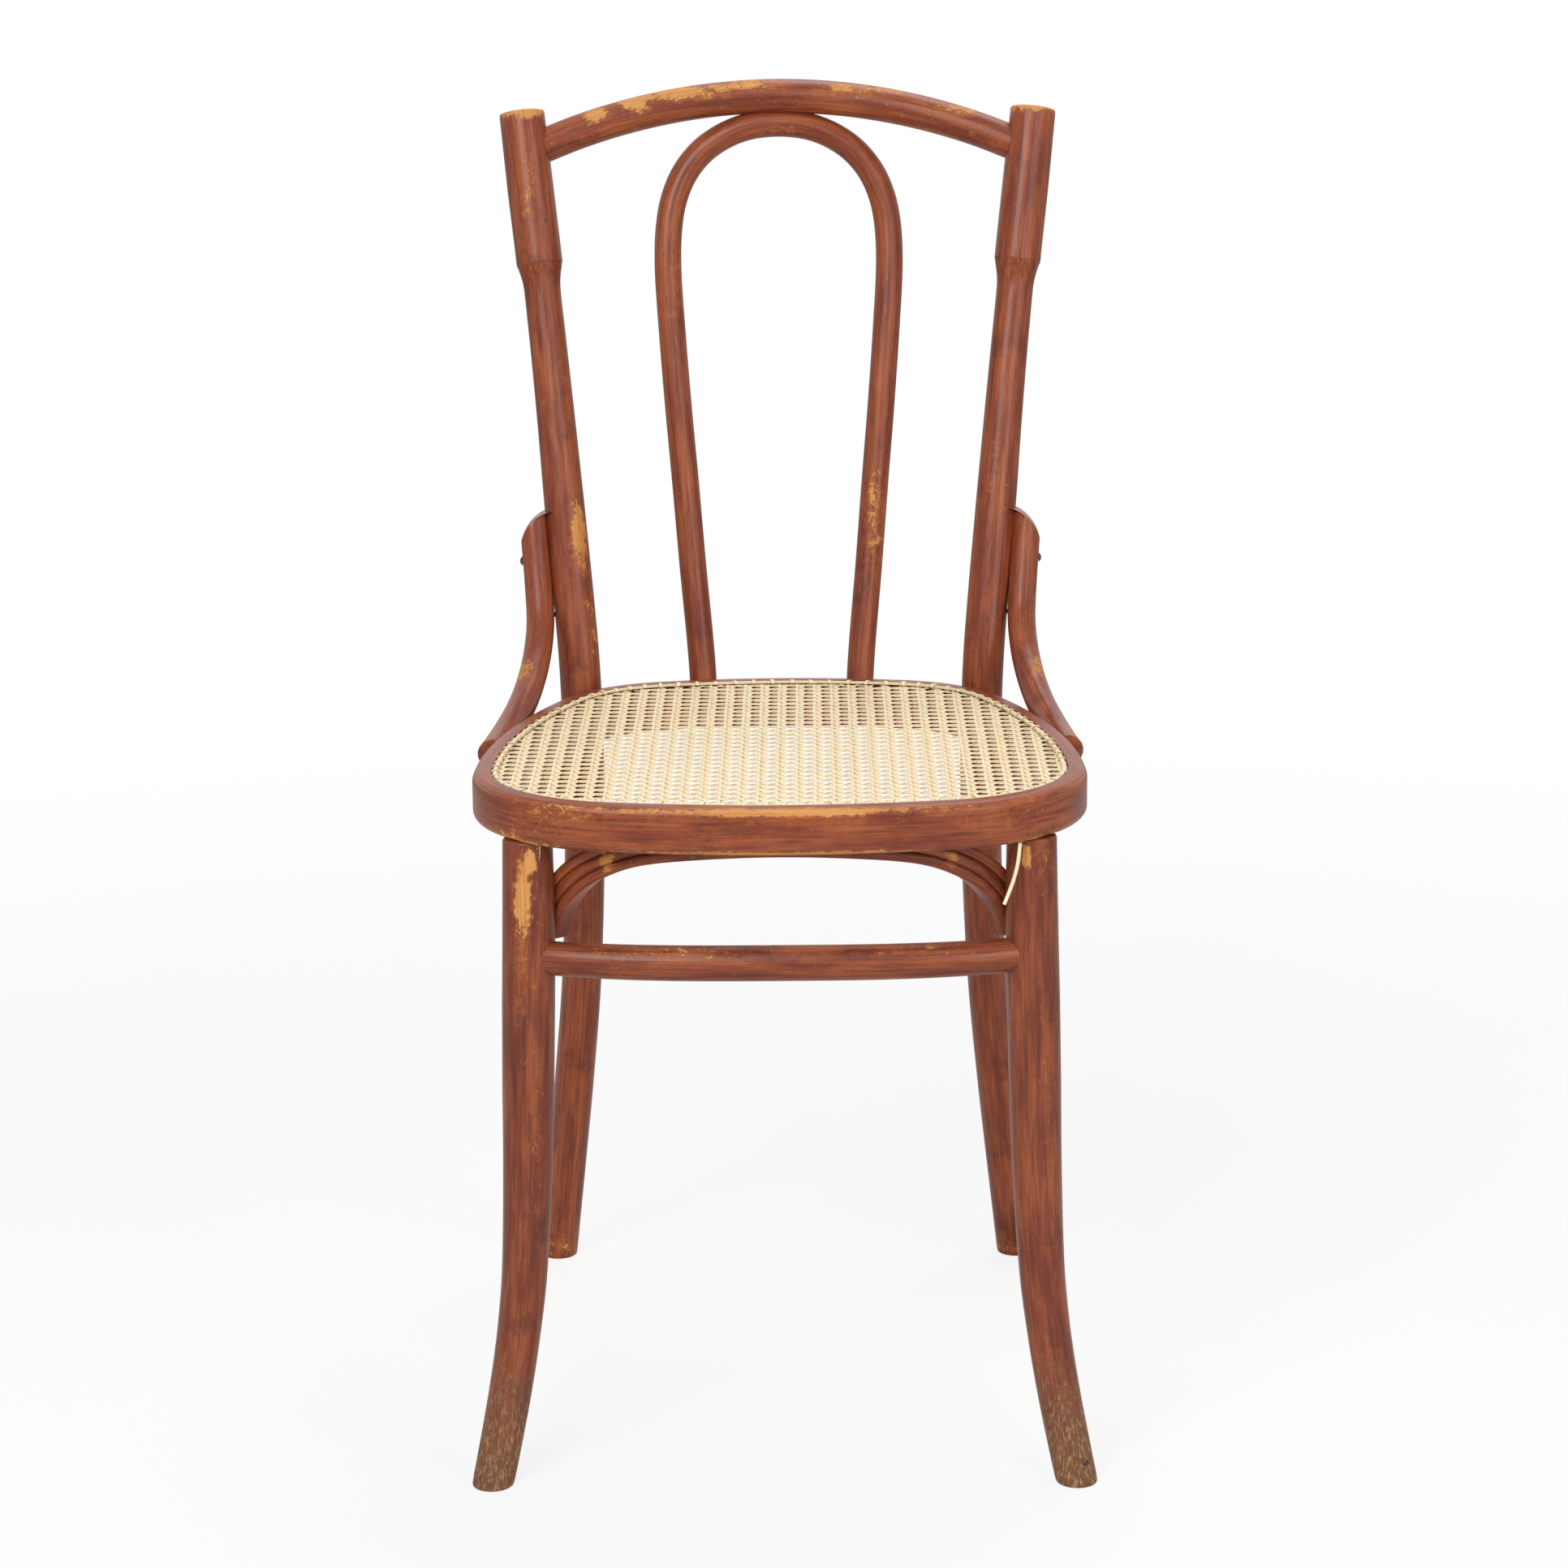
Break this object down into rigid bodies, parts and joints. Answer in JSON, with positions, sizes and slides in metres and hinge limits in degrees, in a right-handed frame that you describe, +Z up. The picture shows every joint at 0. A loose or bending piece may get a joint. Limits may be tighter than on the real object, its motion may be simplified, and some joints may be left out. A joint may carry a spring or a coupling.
{
  "type": "bentwood dining chair",
  "caption": "Bentwood bistro chair with a hand-caned seat, an arched crest rail, a hoop back, hip braces and a front stretcher.",
  "frame": {"origin": "on the floor, in the middle of the chair's width and depth", "axes": "+Z up, +X to the right seen from the front, the front of the seat faces -Y"},
  "size_m": [0.4136, 0.5167, 0.884],
  "materials": {
    "stained_beech": "worn red-brown lacquer",
    "cane": "pale satin cane",
    "bare_peg_wood": "bare matt wood",
    "dark_steel": "dark oxidised"
  },
  "bodies": {
    "root": {"seat_ring": "stained_beech", "crest_rail": "stained_beech", "back_hoop": "stained_beech", "front_stretcher": "stained_beech", "front_arch": "stained_beech", "left_back_post": "stained_beech", "right_back_post": "stained_beech", "left_side_arch": "stained_beech", "right_side_arch": "stained_beech", "left_hip_brace": "stained_beech", "right_hip_brace": "stained_beech", "left_front_leg": "stained_beech", "right_front_leg": "stained_beech", "cane_panel": "cane", "cane_binder": "cane", "cane_lacing": "cane", "loose_cane_end": "cane", "leg_lock_pegs": "bare_peg_wood", "hoop_crest_dowel": "bare_peg_wood", "post_bolts": "dark_steel", "post_bolt_washers": "dark_steel", "post_bolt_nuts": "dark_steel", "hoop_foot_screws": "dark_steel", "hip_brace_post_screws": "dark_steel", "hip_brace_seat_screws": "dark_steel", "front_arch_leg_screws": "dark_steel", "side_arch_seat_screws": "dark_steel", "side_arch_leg_screws": "dark_steel", "crest_rail_pins": "dark_steel", "front_stretcher_pins": "dark_steel", "front_arch_seat_screws": "dark_steel", "foot_nail": "dark_steel"}
  },
  "joints": []
}
